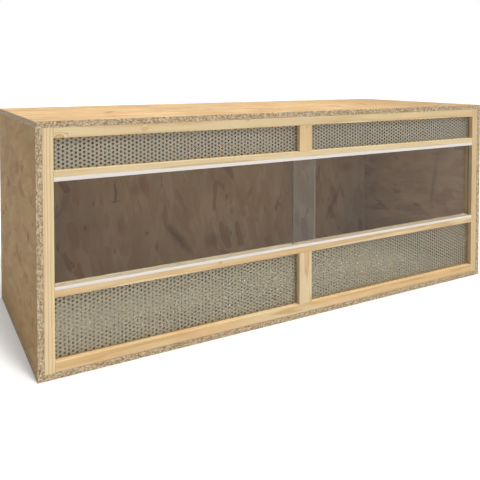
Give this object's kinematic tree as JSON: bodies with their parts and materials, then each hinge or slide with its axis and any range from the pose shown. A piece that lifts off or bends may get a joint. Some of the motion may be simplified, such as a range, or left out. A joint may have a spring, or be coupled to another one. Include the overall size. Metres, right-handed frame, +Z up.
{
  "type": "reptile terrarium",
  "caption": "Wide wooden terrarium of strand board with a framed front, sliding glass panes in plastic tracks and perforated metal ventilation grilles.",
  "frame": {"origin": "centre of the underside of the bottom panel, on the surface that the terrarium stands on", "axes": "+X to the right along the width, seen from the front; +Y to the back; +Z up"},
  "size_m": [1.5, 0.6, 0.6],
  "materials": {
    "board": "sanded strand board, satin",
    "slat": "planed pine, matte",
    "dowel": "plain beech",
    "grille_sheet": "galvanised, dull",
    "screw": "zinc plated",
    "track": "white extruded plastic, satin",
    "glass": "clear float glass, ground edges"
  },
  "bodies": {
    "cabinet": {"top_panel": "board", "bottom_panel": "board", "left_side_panel": "board", "right_side_panel": "board", "back_panel": "board", "left_stile": "slat", "right_stile": "slat", "top_rail": "slat", "bottom_rail": "slat", "upper_transom": "slat", "lower_transom": "slat", "upper_post": "slat", "lower_post": "slat", "upper_left_grille": "grille_sheet", "upper_right_grille": "grille_sheet", "lower_left_grille": "grille_sheet", "lower_right_grille": "grille_sheet", "upper_track": "track", "lower_track": "track", "top_panel_screws": "screw", "bottom_panel_screws": "screw", "left_side_screws": "screw", "right_side_screws": "screw", "rail_dowels": "dowel", "post_dowels": "dowel"},
    "left_pane": {"left_glass_pane": "glass"},
    "right_pane": {"right_glass_pane": "glass"}
  },
  "joints": [
    {"name": "left_pane_slide", "type": "slide", "parent": "cabinet", "child": "left_pane", "axis": [1, 0, 0], "range_m": [0, 0.673]},
    {"name": "right_pane_slide", "type": "slide", "parent": "cabinet", "child": "right_pane", "axis": [1, 0, 0], "range_m": [-0.673, 0]}
  ]
}
